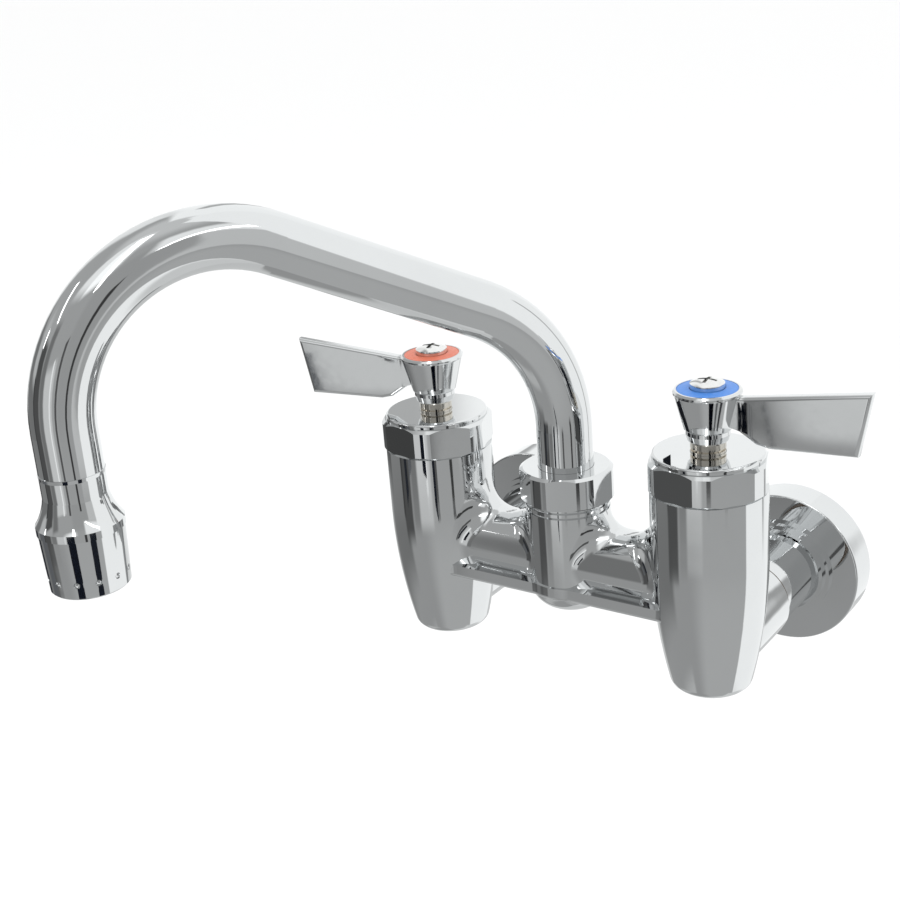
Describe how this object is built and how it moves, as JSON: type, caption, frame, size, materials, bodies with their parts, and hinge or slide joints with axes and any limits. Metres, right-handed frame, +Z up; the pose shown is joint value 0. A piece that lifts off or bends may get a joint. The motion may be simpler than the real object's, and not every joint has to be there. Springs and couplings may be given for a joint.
{
  "type": "wall mounted swing spout faucet",
  "caption": "Wall-mounted mixing faucet in polished chrome with lever handles on tapered valve columns, a bridge body and a swinging gooseneck spout with an aerator.",
  "frame": {"origin": "on the wall plane, midway between the two inlet axes", "axes": "+X from the hot inlet to the cold inlet, +Y into the wall, +Z up along the valve and spout axes"},
  "size_m": [0.2006, 0.2204, 0.1813],
  "materials": {
    "chrome_casting": "polished",
    "chrome_trim": "polished",
    "chrome_spout": "polished",
    "chrome_handle": "polished",
    "steel_screw": "satin",
    "steel_screen": "satin",
    "nickel_brass": "nickel plated",
    "brass": "machined",
    "rubber": "matte",
    "fibre": "matte",
    "nylon": "matte",
    "hot_mark": "gloss",
    "cold_mark": "gloss"
  },
  "bodies": {
    "fixed_body": {"cold_bonnet": "chrome_trim", "cold_bonnet_gasket": "fibre", "cold_flange": "chrome_trim", "cold_inlet_shank": "chrome_trim", "cold_inlet_washer": "fibre", "cold_seat": "brass", "glide_washer": "nylon", "hot_bonnet": "chrome_trim", "hot_bonnet_gasket": "fibre", "hot_flange": "chrome_trim", "hot_inlet_shank": "chrome_trim", "hot_inlet_washer": "fibre", "hot_seat": "brass", "spout_nut": "chrome_trim", "valve_body": "chrome_casting"},
    "spout": {"aerator_housing": "chrome_spout", "aerator_insert": "nylon", "aerator_screen": "steel_screen", "aerator_washer": "rubber", "outlet_fitting": "chrome_spout", "spout_ferrule": "brass", "spout_orings": "rubber", "spout_tube": "chrome_spout"},
    "hot_lever": {"hot_handle": "chrome_handle", "hot_handle_screw": "steel_screw", "hot_index_ring": "hot_mark", "hot_stem": "nickel_brass", "hot_stem_oring": "rubber"},
    "hot_plunger_set": {"hot_plunger": "brass", "hot_seat_washer": "rubber", "hot_washer_screw": "brass"},
    "cold_lever": {"cold_handle": "chrome_handle", "cold_handle_screw": "steel_screw", "cold_index_ring": "cold_mark", "cold_stem": "nickel_brass", "cold_stem_oring": "rubber"},
    "cold_plunger_set": {"cold_plunger": "brass", "cold_seat_washer": "rubber", "cold_washer_screw": "brass"}
  },
  "joints": [
    {"name": "spout_swing", "type": "hinge", "parent": "fixed_body", "child": "spout", "pos_m": [0, -0.0705, 0.048], "axis": [0, 0, 1], "range_deg": [-76, 134]},
    {"name": "hot_handle_turn", "type": "hinge", "parent": "fixed_body", "child": "hot_lever", "pos_m": [-0.0508, -0.0705, 0.06], "axis": [0, 0, 1], "range_deg": [0, 90]},
    {"name": "hot_plunger_lift", "type": "slide", "parent": "fixed_body", "child": "hot_plunger_set", "axis": [0, 0, 1], "range_m": [0, 0.0025]},
    {"name": "cold_handle_turn", "type": "hinge", "parent": "fixed_body", "child": "cold_lever", "pos_m": [0.0508, -0.0705, 0.06], "axis": [0, 0, 1], "range_deg": [-90, 0]},
    {"name": "cold_plunger_lift", "type": "slide", "parent": "fixed_body", "child": "cold_plunger_set", "axis": [0, 0, 1], "range_m": [0, 0.0025]}
  ],
  "couplings": [
    {"joint": "hot_handle_turn", "follows": "hot_plunger_lift", "rad_per_m": 628.32},
    {"joint": "cold_handle_turn", "follows": "cold_plunger_lift", "rad_per_m": -628.32}
  ]
}
